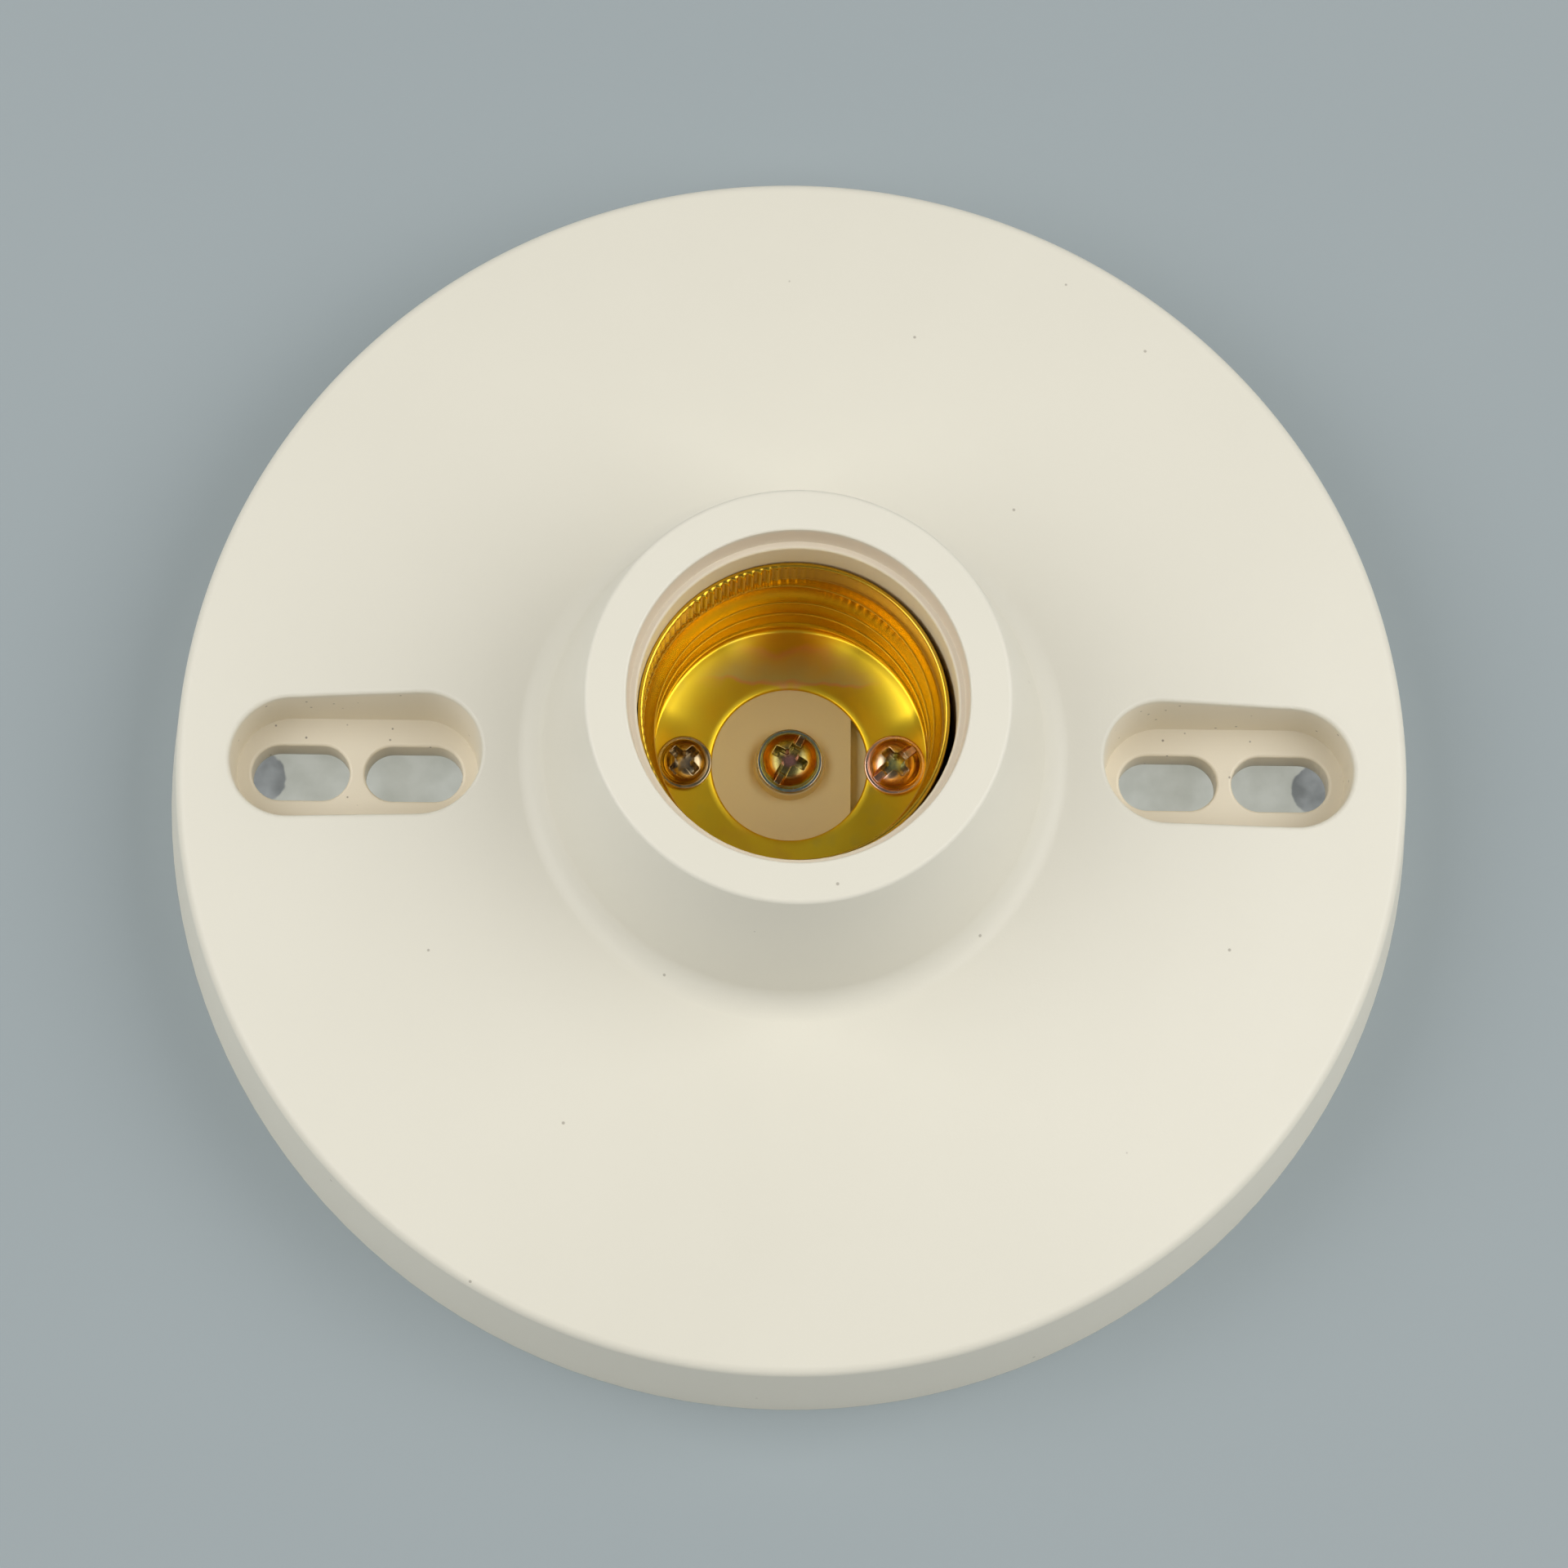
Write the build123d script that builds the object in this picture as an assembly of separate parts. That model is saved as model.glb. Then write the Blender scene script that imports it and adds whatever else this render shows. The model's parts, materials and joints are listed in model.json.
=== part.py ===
from build123d import *
import math
import os

# Ceiling lampholder for a screw-cap lamp, in millimetres.
# It stands on the back edge of its base at z = 0. The lamp mouth faces +Z, and the box screws lie on X.

# Box-screw recesses, each with an inner and an outer slot
inner_slot_spacing = 68.9
outer_slot_spacing = 89.5
slot_length = 8.93
slot_width = 5.14
slot_lip = 0.3
recess_end_margin = 1.385
recess_side_margin = 2.53
recess_draft = 4.0
recess_floor = 7.3
recess_floor_thickness = 3.2
recess_lip = 0.4

# Base moulding
edge_margin = 6.4
skirt_height = 12.0
skirt_draft = 5.7
edge_fillet = 1.0
top_slope = 8.2
wall = 2.4
inner_fillet = 0.8

# Ribs under the base
rib_thickness = 1.6
rib_bottom = 6.0
rib_angles = (67.5, 112.5, 247.5, 292.5)

# Screw shell of thin sheet with a rounded lamp thread
sheet = 0.4
shell_height = 18.55
collar_length = 3.6
thread_major_radius = 13.35
thread_depth = 1.1
thread_pitch = 3.63
thread_run_in = 2.2
bend_radius = 0.4
floor_width = 5.35
sections_per_turn = 10

# Socket tube and its floor web, cored out behind the neck
web_top = 11.1
web_thickness = 3.3
socket_wall = 2.1
core_width = 1.2
shell_gap = 0.03

# The shell, its contact and its screws sit a little to one side of the neck
socket_offset_x = -0.25
socket_offset_y = 0.2
contact_boss_height = 1.3
contact_boss_margin = 0.1
contact_boss_foot = 0.15
groove_gap = 1.2
groove_margin = 0.35
groove_depth = 1.7

# Neck, whose rim stands above the shell
shell_sink = 6.65
rim_width = 3.63
neck_taper = 12.0
neck_root_fillet = 3.0
rim_fillet = 0.45
mouth_depth = 2.7
mouth_draft = 7.0
mouth_ledge = 0.6
mouth_fillet = 0.25

# Contact and shell screws
contact_head_radius = 3.0
contact_head_height = 1.75
terminal_head_radius = 2.8
terminal_head_height = 1.7
fixing_head_radius = 2.5
fixing_head_height = 1.5
contact_shank_radius = 1.5
fixing_shank_radius = 1.3
fixing_screw_length = 6.5
screw_tail = 1.0
head_margin = 0.05
head_flange_width = 0.4
head_flange_height = 0.4
tip_chamfer = 0.45
thread_clearance = 0.05
hole_clearance = 0.2

# Screw drives: a cross, with a slot through it on all but the fixing screw
drive_width = 0.8
cross_margin = 1.35
cross_depth = 1.3
slot_depth = 0.95
contact_drive_angle = 62.0
terminal_drive_angle = 40.0
fixing_drive_angle = 45.0

# Boss for the fixing screw, and barrier between the two terminals
boss_radius = 3.2
boss_skin = 0.8
barrier_thickness = 1.0
barrier_depth = 2.6
barrier_gap = 0.5

# Wire terminals behind the web
strip_width = 7.0
strip_thickness = 1.0
strip_end = 3.2
strip_corner = 1.0
strip_seat = 0.4
strip_clearance = 0.15
line_margin = 4.1
neutral_margin = 5.6
clamp_length = 6.4
clamp_thickness = 0.8
clamp_lip_thickness = 0.8
clamp_lip_height = 0.45
clamp_clearance = 0.2
clamp_corner = 0.6
wire_shank_radius = 1.75
wire_head_radius = 3.2
wire_head_height = 2.0
pocket_skin = 0.8
tip_clearance = 0.2

# Worked-out places, levels and radii
recess_place = (inner_slot_spacing + outer_slot_spacing) / 4
recess_length = (outer_slot_spacing - inner_slot_spacing) / 2 + slot_length + 2 * recess_end_margin
recess_width = slot_width + 2 * recess_side_margin
base_radius = recess_place + recess_length / 2 + edge_margin
skirt_run = math.tan(math.radians(skirt_draft))
slope_rise = math.tan(math.radians(top_slope))
taper_run = math.tan(math.radians(neck_taper))
edge_radius = base_radius - skirt_height * skirt_run
shell_floor_top = web_top + sheet
shell_top = web_top + shell_height
collar_bottom = shell_top - collar_length
bend_top = shell_floor_top + bend_radius
wall_start_radius = thread_major_radius - thread_depth / 2
flat_radius = wall_start_radius - bend_radius
floor_hole_radius = flat_radius - floor_width
socket_offset = math.hypot(socket_offset_x, socket_offset_y)
socket_radius = thread_major_radius + sheet + socket_offset + shell_gap
tube_radius = socket_radius + socket_wall
neck_height = shell_top + shell_sink
mouth_floor = neck_height - mouth_depth
mouth_floor_radius = socket_radius + mouth_ledge
mouth_radius = mouth_floor_radius + mouth_depth * math.tan(math.radians(mouth_draft))
neck_radius = mouth_radius + rim_width
web_bottom = web_top - web_thickness
contact_seat = web_top + contact_boss_height
contact_boss_radius = contact_head_radius + contact_boss_margin
shell_screw_x = flat_radius - head_margin - terminal_head_radius
groove_start = shell_screw_x - terminal_head_radius - groove_gap
line_reach = socket_radius - line_margin
neutral_reach = socket_radius - neutral_margin
strip_top = web_bottom + strip_seat
strip_bottom = strip_top - strip_thickness
clamp_bottom = strip_bottom - clamp_thickness
pocket_top = web_top - pocket_skin
wire_screw_length = pocket_top - tip_clearance - clamp_bottom

# Place of the socket's axis
socket_place = Pos(socket_offset_x, socket_offset_y, 0)

# Which way a centred piece stands from its own origin
upwards = (Align.CENTER, Align.CENTER, Align.MIN)
downwards = (Align.CENTER, Align.CENTER, Align.MAX)


def top_height(radius, depth=0.0):
    """Height of the sloping top face at a radius, or of a face that lies a depth below it."""
    drop = depth / math.cos(math.radians(top_slope))
    return skirt_height + (edge_radius - radius) * slope_rise - drop


def neck_side(height, depth=0.0):
    """Radius of the neck at a height, or of a face that lies a depth inside it."""
    step_in = depth / math.cos(math.radians(neck_taper))
    return neck_radius + (neck_height - height) * taper_run - step_in


def neck_root(depth=0.0):
    """Radius and height where the neck meets the top face, a depth below both."""
    radius = neck_side(top_height(0, depth), depth) / (1 - slope_rise * taper_run)
    return radius, top_height(radius, depth)


def revolved(points, rounded=()):
    """Solid of revolution about Z from radius and height points. Rounded pairs a point with its fillet."""
    face = make_face(Polyline(*points, close=True))
    for point, radius in rounded:
        corner = face.vertices().sort_by_distance(Vector(*point))[0]
        face = fillet(corner, radius)
    return revolve(Plane.XZ * face, axis=Axis.Z)


def stadium_prism(length, width, bottom, height, draft=0.0):
    """Upright prism with round ends, its long side on X. A draft widens it upwards."""
    return extrude(Pos(0, 0, bottom) * SlotOverall(length, width), height, taper=-draft)


def base_shell():
    """Skirt, top, neck, socket tube and web, as one turned section."""
    root = neck_root()
    inner_root = neck_root(wall)
    skirt_corner = edge_radius - wall
    ceiling = (skirt_corner, top_height(skirt_corner, wall))
    core_radius = tube_radius + core_width
    core_top = neck_height - (core_radius - neck_side(neck_height, wall)) / taper_run
    points = [
        (base_radius, 0),
        (edge_radius, skirt_height),
        root,
        (neck_radius, neck_height),
        (mouth_radius, neck_height),
        (mouth_floor_radius, mouth_floor),
        (socket_radius, mouth_floor),
        (socket_radius, web_top),
        (0, web_top),
        (0, web_bottom),
        (tube_radius, web_bottom),
        (tube_radius, core_top),
        (core_radius, core_top),
        inner_root,
        ceiling,
        (base_radius - wall, 0),
    ]
    rounded = [
        ((edge_radius, skirt_height), edge_fillet),
        (root, neck_root_fillet),
        ((neck_radius, neck_height), rim_fillet),
        ((mouth_radius, neck_height), mouth_fillet),
        ((socket_radius, mouth_floor), mouth_fillet),
        (inner_root, inner_fillet),
        (ceiling, inner_fillet),
    ]
    return revolved(points, rounded)


def inner_room():
    """Space under the middle of the top wall, which bounds what stands inside the base."""
    depth = wall / 2
    root = neck_root(depth)
    corner = edge_radius - depth
    return revolved([
        (0, 0),
        (base_radius - depth, 0),
        (corner, top_height(corner, depth)),
        root,
        (0, root[1]),
    ])


def on_both_sides(place, piece):
    """A piece at a distance along X and its twin on the other side."""
    return [Pos(side * place, 0, 0) * piece for side in (-1, 1)]


def recess_boxes():
    """Walls and floors that stand behind the two box-screw recesses."""
    length = recess_length + 2 * wall
    width = recess_width + 2 * wall
    bottom = recess_floor - recess_floor_thickness
    return on_both_sides(recess_place, stadium_prism(length, width, bottom, neck_height, recess_draft))


def ribs():
    """Radial ribs from the socket tube to the skirt, and two that tie it to the recess boxes."""
    start = tube_radius - socket_wall / 2
    long_rib = base_radius - wall / 2 - start
    short_rib = recess_place - recess_length / 2 - wall / 2 - start
    reaches = [(angle, long_rib) for angle in rib_angles] + [(0, short_rib), (180, short_rib)]
    outwards = (Align.MIN, Align.CENTER, Align.MIN)
    return [
        Rot(0, 0, angle) * Pos(start, 0, rib_bottom) * Box(reach, rib_thickness, neck_height, align=outwards)
        for angle, reach in reaches
    ]


def recess_cuts():
    """The two recesses as cut from above, and their slots."""
    pocket = stadium_prism(recess_length, recess_width, recess_floor, neck_height, recess_draft)
    slot = stadium_prism(slot_length, slot_width, 0, neck_height)
    cuts = on_both_sides(recess_place, pocket)
    for spacing in (inner_slot_spacing, outer_slot_spacing):
        cuts += on_both_sides(spacing / 2, slot)
    return cuts


def soften_recesses(moulding):
    """Rounds the lips of the recesses and of their slots."""
    near = 0.01

    def over_recess(edge):
        along = abs(abs(edge.center().X) - recess_place)
        return along < recess_length / 2 + wall and abs(edge.center().Y) < recess_width

    def on_top(edge):
        centre = edge.center()
        return abs(centre.Z - top_height(math.hypot(centre.X, centre.Y))) < near

    def on_slot(edge):
        box = edge.bounding_box()
        level = max(abs(box.min.Z - recess_floor), abs(box.max.Z - recess_floor)) < near
        return level and box.max.Y < slot_width / 2 + near and box.min.Y > -slot_width / 2 - near

    moulding = fillet([e for e in moulding.edges() if over_recess(e) and on_top(e)], recess_lip)
    return fillet([e for e in moulding.edges() if over_recess(e) and on_slot(e)], slot_lip)


def strip_outline(reach, grow=0.0):
    """Outline of a terminal strip, round at its contact screw and square past its wire screw on +Y."""
    half = strip_width / 2 + grow
    end = reach + strip_end + grow
    outline = Pos(0, end / 2) * Rectangle(2 * half, end) + Circle(half)
    return fillet(outline.vertices().sort_by(Axis.Y)[-2:], strip_corner)


def at_line(piece):
    """Places a terminal piece at the centre contact, with its wire screw towards -Y."""
    return socket_place * Rot(0, 0, 180) * piece


def at_neutral(piece):
    """Places a terminal piece at the shell screw, with its wire screw towards +Y."""
    return socket_place * Pos(shell_screw_x, 0, 0) * piece


def terminal_seat(reach):
    """Shallow seat for a terminal strip, with a pocket for the tip of its wire screw."""
    outline = Pos(0, 0, web_bottom - strip_seat) * strip_outline(reach, strip_clearance)
    pocket = Cylinder(wire_shank_radius + hole_clearance, pocket_top - web_bottom, align=upwards)
    return extrude(outline, 2 * strip_seat) + Pos(0, reach, web_bottom) * pocket


def contact_boss():
    """Drafted boss that lifts the centre contact above the shell's floor."""
    foot_radius = contact_boss_radius + contact_boss_foot
    return Pos(0, 0, web_top) * Cone(foot_radius, contact_boss_radius, contact_boss_height, align=upwards)


def creepage_groove():
    """Groove in the web between the centre contact and the shell's screw, straight on its inner side."""
    disc = Cylinder(floor_hole_radius + groove_margin, groove_depth, align=downwards)
    outwards = (Align.MIN, Align.CENTER, Align.MAX)
    beyond = Pos(groove_start, 0, 0) * Box(base_radius, base_radius, groove_depth, align=outwards)
    return Pos(0, 0, web_top) * (disc & beyond)


def terminal_barrier():
    """Wall on the back of the web between the two terminals."""
    line_end = line_reach - clamp_length / 2 - barrier_gap
    neutral_end = neutral_reach - clamp_length / 2 - barrier_gap
    middle = (neutral_end - line_end) / 2
    block = Box(barrier_thickness, line_end + neutral_end, barrier_depth, align=downwards)
    return Pos(shell_screw_x / 2, middle, web_bottom) * block


def socket_floor(moulding):
    """Adds the bosses and barrier of the socket's floor, and cuts its holes and terminal seats."""
    boss_bottom = shell_floor_top - fixing_screw_length - tip_clearance - boss_skin
    boss = Cylinder(boss_radius, web_bottom - boss_bottom, align=upwards)
    pilot = Cylinder(fixing_shank_radius + thread_clearance, web_top - boss_bottom, align=upwards)
    contact_hole = Cylinder(contact_shank_radius + hole_clearance, neck_height, align=upwards)
    moulding += [
        socket_place * contact_boss(),
        socket_place * terminal_barrier(),
        socket_place * Pos(-shell_screw_x, 0, boss_bottom) * boss,
    ]
    return moulding - [
        socket_place * creepage_groove(),
        socket_place * contact_hole,
        socket_place * Pos(shell_screw_x, 0, 0) * contact_hole,
        socket_place * Pos(-shell_screw_x, 0, boss_bottom + boss_skin) * pilot,
        at_line(terminal_seat(line_reach)),
        at_neutral(terminal_seat(neutral_reach)),
    ]


def body():
    """The one-piece base and neck moulding."""
    room = inner_room()
    moulding = base_shell() + [piece & room for piece in recess_boxes() + ribs()]
    moulding = soften_recesses(moulding - recess_cuts())
    return socket_floor(moulding)


def threaded_plug(grow):
    """Solid inside the lamp thread, grown outwards. Each level section of it is an offset circle."""
    height = collar_bottom - bend_top
    count = round(height / thread_pitch * sections_per_turn)
    half_depth = thread_depth / 2
    sections = []
    for step in range(count + 1):
        rise = height * step / count
        turn = 2 * math.pi * rise / thread_pitch
        run_in = min(1, rise / thread_run_in)
        run_out = min(1, (height - rise) / thread_run_in)
        swing = half_depth * run_in * run_out
        radius = thread_major_radius - half_depth * run_out + grow
        place = Pos(swing * math.cos(turn), swing * math.sin(turn), bend_top + rise)
        sections.append(place * Circle(radius))
    return loft(sections, ruled=True)


def shell_cup():
    """Flat floor of the shell and the corner that bends up from it."""
    outer_start = wall_start_radius + sheet
    with BuildSketch(Plane.XZ) as section:
        with BuildLine():
            Line((floor_hole_radius, web_top), (flat_radius, web_top))
            RadiusArc((flat_radius, web_top), (outer_start, bend_top), -(bend_radius + sheet))
            Line((outer_start, bend_top), (wall_start_radius, bend_top))
            RadiusArc((wall_start_radius, bend_top), (flat_radius, shell_floor_top), bend_radius)
            Line((flat_radius, shell_floor_top), (floor_hole_radius, shell_floor_top))
            Line((floor_hole_radius, shell_floor_top), (floor_hole_radius, web_top))
        make_face()
    return revolve(section.sketch, axis=Axis.Z)


def screw_shell():
    """Thin sheet shell: floor with its holes, bent corner, rolled thread and plain collar."""
    collar = revolved([
        (thread_major_radius, collar_bottom),
        (thread_major_radius + sheet, collar_bottom),
        (thread_major_radius + sheet, shell_top),
        (thread_major_radius, shell_top),
    ])
    thread = threaded_plug(sheet) - threaded_plug(0)
    terminal_hole = Cylinder(contact_shank_radius + hole_clearance, shell_floor_top, align=upwards)
    fixing_hole = Cylinder(fixing_shank_radius + hole_clearance, shell_floor_top, align=upwards)
    shell = shell_cup() + thread + collar
    shell -= [Pos(shell_screw_x, 0, 0) * terminal_hole, Pos(-shell_screw_x, 0, 0) * fixing_hole]
    return socket_place * shell


def pan_screw(head_radius, head_height, shank_radius, length, slotted):
    """Flanged pan-head screw, its head on z = 0 and its shank down -Z, with a cross or a slotted cross."""
    dome_radius = head_radius - head_flange_width
    dome_height = head_height - head_flange_height
    dome_curve = (dome_radius**2 + dome_height**2) / (2 * dome_height)
    with BuildSketch(Plane.XZ) as section:
        with BuildLine():
            Polyline(
                (0, head_height),
                (0, -length),
                (shank_radius - tip_chamfer, -length),
                (shank_radius, tip_chamfer - length),
                (shank_radius, 0),
                (head_radius, 0),
                (head_radius, head_flange_height),
                (dome_radius, head_flange_height),
            )
            RadiusArc((dome_radius, head_flange_height), (0, head_height), -dome_curve)
        make_face()
    arm = 2 * (head_radius - cross_margin)
    drive = Box(arm, drive_width, 2 * cross_depth) + Box(drive_width, arm, 2 * cross_depth)
    if slotted:
        drive += Box(2 * head_radius, drive_width, 2 * slot_depth)
    return revolve(section.sketch, axis=Axis.Z) - Pos(0, 0, head_height) * drive


def terminal_strip(reach):
    """Flat terminal strip with a tapped hole for its contact screw and one for its wire screw."""
    strip = extrude(Pos(0, 0, strip_bottom) * strip_outline(reach), strip_thickness)
    contact_hole = Cylinder(contact_shank_radius + thread_clearance, strip_top, align=upwards)
    wire_hole = Cylinder(wire_shank_radius + thread_clearance, strip_top, align=upwards)
    return strip - [contact_hole, Pos(0, reach, 0) * wire_hole]


def wire_clamp(reach):
    """Saddle washer under a wire screw, with a lip along each side of the strip."""
    inside = strip_width + 2 * clamp_clearance
    outside = inside + 2 * clamp_lip_thickness
    outline = Pos(0, reach, clamp_bottom) * RectangleRounded(outside, clamp_length, clamp_corner)
    saddle = extrude(outline, clamp_thickness + clamp_lip_height)
    channel = Box(inside, clamp_length, strip_thickness, align=upwards)
    hole = Cylinder(wire_shank_radius + clamp_clearance, strip_bottom, align=upwards)
    return saddle - [Pos(0, reach, strip_bottom) * channel, Pos(0, reach, 0) * hole]


def wire_screw(reach):
    """Wire screw that faces the back, its head on the clamp washer."""
    screw = pan_screw(wire_head_radius, wire_head_height, wire_shank_radius, wire_screw_length, True)
    return Pos(0, reach, clamp_bottom) * Rot(180, 0, 0) * screw


def contact_screw():
    """Centre contact: its head on the boss, its shank through the web into the line strip."""
    length = contact_seat - strip_bottom + screw_tail
    screw = pan_screw(contact_head_radius, contact_head_height, contact_shank_radius, length, True)
    return socket_place * Pos(0, 0, contact_seat) * Rot(0, 0, contact_drive_angle) * screw


def shell_terminal_screw():
    """Screw that ties the shell's floor to the neutral strip."""
    length = shell_floor_top - strip_bottom + screw_tail
    screw = pan_screw(terminal_head_radius, terminal_head_height, contact_shank_radius, length, True)
    place = socket_place * Pos(shell_screw_x, 0, shell_floor_top)
    return place * Rot(0, 0, terminal_drive_angle) * screw


def shell_fixing_screw():
    """Self-tapping screw that holds the shell's other side down on the moulding."""
    length = fixing_screw_length
    screw = pan_screw(fixing_head_radius, fixing_head_height, fixing_shank_radius, length, False)
    place = socket_place * Pos(-shell_screw_x, 0, shell_floor_top)
    return place * Rot(0, 0, fixing_drive_angle) * screw


pieces = {
    "body": body(),
    "screw_shell": screw_shell(),
    "centre_contact_screw": contact_screw(),
    "shell_terminal_screw": shell_terminal_screw(),
    "shell_fixing_screw": shell_fixing_screw(),
    "line_terminal_strip": at_line(terminal_strip(line_reach)),
    "neutral_terminal_strip": at_neutral(terminal_strip(neutral_reach)),
    "line_wire_clamp": at_line(wire_clamp(line_reach)),
    "neutral_wire_clamp": at_neutral(wire_clamp(neutral_reach)),
    "line_wire_screw": at_line(wire_screw(line_reach)),
    "neutral_wire_screw": at_neutral(wire_screw(neutral_reach)),
}

os.makedirs("parts", exist_ok=True)
for name, piece in pieces.items():
    export_step(piece, f"parts/{name}.step")
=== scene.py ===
import json
import math
from collections import defaultdict

import bmesh
import bpy
from mathutils import Matrix, Vector


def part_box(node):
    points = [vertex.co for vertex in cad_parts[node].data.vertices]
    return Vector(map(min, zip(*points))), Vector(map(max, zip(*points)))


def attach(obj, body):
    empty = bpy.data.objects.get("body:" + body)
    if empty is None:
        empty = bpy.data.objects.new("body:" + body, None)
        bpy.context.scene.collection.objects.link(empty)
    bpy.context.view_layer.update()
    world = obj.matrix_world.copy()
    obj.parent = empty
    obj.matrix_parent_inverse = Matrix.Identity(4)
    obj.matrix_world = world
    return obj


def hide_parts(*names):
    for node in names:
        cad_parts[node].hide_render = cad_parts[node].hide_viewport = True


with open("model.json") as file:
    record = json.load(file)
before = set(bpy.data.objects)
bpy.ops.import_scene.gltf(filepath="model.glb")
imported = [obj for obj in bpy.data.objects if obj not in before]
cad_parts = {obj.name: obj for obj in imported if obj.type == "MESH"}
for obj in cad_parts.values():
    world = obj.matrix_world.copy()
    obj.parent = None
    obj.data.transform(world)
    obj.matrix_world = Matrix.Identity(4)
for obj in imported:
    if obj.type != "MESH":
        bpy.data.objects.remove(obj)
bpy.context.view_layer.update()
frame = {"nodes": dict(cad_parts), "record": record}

# Looks of the ceiling lampholder: an evenly shaded moulding, and finer meshes for the shell and screws.
# Lengths are in metres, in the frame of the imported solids, and MM turns millimetres into metres.

MM = 0.001

# Camera, at the photograph's viewpoint
image_side = 1920
focal_pixels = 8000.0
sensor_side = 36.0
camera_distance = 586.57 * MM
camera_elevation = math.radians(75.43)
camera_turn = math.radians(4.3)
camera_roll = math.radians(-4.85)
camera_clip = 10.0 * MM
aim_height = 18.0 * MM
aim_right = 0.61 * MM
aim_up = 3.25 * MM

# Sky strength at the horizon and overhead, and a softbox on each side with its azimuth and power
sky_low = 0.7
sky_high = 0.09
sky_dark_from = 0.85
sky_tint = (1.0, 0.995, 0.98, 1)
softboxes = {"left": (271, 3.7), "right": (89, 4.2)}
softbox_elevation = math.radians(49)
softbox_distance = 0.8
softbox_width = 0.7
softbox_height = 0.66
softbox_tint = (1.0, 0.99, 0.97)

# Studio floor, and the pale paper that shows through the slots: it glows as painted light in the shade under
# the base, and two darker round patches on it are painted shade
floor_half = 2.5
floor_level = -0.02 * MM
paper_radius = 52.0 * MM
paper_edge = 1.0 * MM
shade_patch_radius = 3.0 * MM
shade_patch_edge = 0.2 * MM
shade_patch_place = 49.6 * MM
shade_patch_back = 1.3 * MM

# Moulding
weld_distance = 0.001 * MM
crease_limit = math.cos(math.radians(30))
turned_limit = 0.2
ring_grid = 0.02 * MM
ring_split = math.radians(6)
turned_segments = 480
path_tolerance = 0.02 * MM
bend_rows = 10

# Screw shell
shell_low, shell_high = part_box("screw_shell")
shell_centre = (shell_low + shell_high) / 2
sheet = 0.4 * MM
shell_floor = shell_low.z + sheet
collar_length = 3.6 * MM
thread_major_radius = 13.35 * MM
thread_depth = 1.1 * MM
thread_pitch = 3.63 * MM
thread_run_in = 2.2 * MM
bend_radius = 0.4 * MM
floor_hole_radius = 7.05 * MM
hole_rows = 4
floor_rows = 10
corner_rows = 6
thread_rows = 132
collar_rows = 12
outer_corner_step = 2
outer_thread_step = 4
outer_collar_step = 3

# Turn-up of the shell's floor at its outer edge
dish_start = 8.4 * MM
dish_rise = 0.5 * MM
dish_power = 2
dish_lean = 0.2

# Flutes of the shell's collar, with shares of their depth: all round, on the left and at the back left
flute_count = 108
flute_samples = 4
flute_depth = 0.4 * MM
flute_length = 5.2 * MM
flute_whole_share = 0.6
flute_rim_start = 0.05 * MM
flute_rim_whole = 0.3 * MM
flute_least = 0.03
flute_faint = 0.25
flute_faint_turn = math.radians(150)
flute_deep = 0.75
flute_deep_turn = math.radians(116)

# Tool marks across the shell's thread, between drops below the rim
chatter_depth = 0.05 * MM
chatter_turn = math.radians(60)
chatter_start = 1.0 * MM
chatter_whole_from = 2.0 * MM
chatter_whole_to = 7.0 * MM
chatter_end = 10.0 * MM

# Turned outline of the moulding
body_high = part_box("body")[1]
base_radius = body_high.x
neck_height = body_high.z
skirt_height = 12.0 * MM
skirt_run = math.tan(math.radians(5.7))
slope_rise = math.tan(math.radians(8.2))
taper_run = math.tan(math.radians(12.0))
edge_fillet = 1.0 * MM
root_fillet = 3.0 * MM
rim_fillet = 0.45 * MM
mouth_fillet = 0.25 * MM
mouth_depth = 2.7 * MM
mouth_run = math.tan(math.radians(7.0))
mouth_ledge = 0.6 * MM
rim_width = 3.63 * MM
shell_gap = 0.03 * MM
edge_radius = base_radius - skirt_height * skirt_run
top_middle = skirt_height + edge_radius * slope_rise
socket_radius = thread_major_radius + sheet + math.hypot(shell_centre.x, shell_centre.y) + shell_gap
mouth_floor = neck_height - mouth_depth
mouth_radius = socket_radius + mouth_ledge + mouth_depth * mouth_run
neck_radius = mouth_radius + rim_width
root_radius = (neck_radius + (neck_height - top_middle) * taper_run) / (1 - slope_rise * taper_run)

# Faces that the recesses leave whole: corners of radius, height and fillet, after and before a guide point
edge_path = [
    (root_radius, top_middle - root_radius * slope_rise, 0),
    (edge_radius, skirt_height, edge_fillet),
    (base_radius - MM * skirt_run, MM, 0),
    (base_radius, 0, 0),
    (base_radius, -MM, 0),
]
neck_path = [
    (socket_radius, 0, 0),
    (socket_radius, mouth_floor, mouth_fillet),
    (socket_radius + mouth_ledge, mouth_floor, 0),
    (mouth_radius, neck_height, mouth_fillet),
    (neck_radius, neck_height, rim_fillet),
    (root_radius, top_middle - root_radius * slope_rise, root_fillet),
    (edge_radius, skirt_height, 0),
]

# Painted light and shade in the cream: warmer where light bounces between cream faces and off the gold shell
socket_edge = 0.2 * MM
socket_none_below = 2.8 * MM
socket_whole_below = 2.3 * MM
mouth_edge = 0.1 * MM
ring_start = 0.2 * MM
ring_whole = 0.6 * MM
recess_depth_start = 0.1 * MM
recess_depth_whole = 0.9 * MM
recess_half_width = 6.4 * MM
recess_side_edge = 0.3 * MM
recess_near_radius = 29.0 * MM
recess_far_radius = 51.0 * MM
recess_end_edge = 1.0 * MM
recess_bottom = 4.6 * MM
recess_bottom_edge = 0.4 * MM

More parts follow.
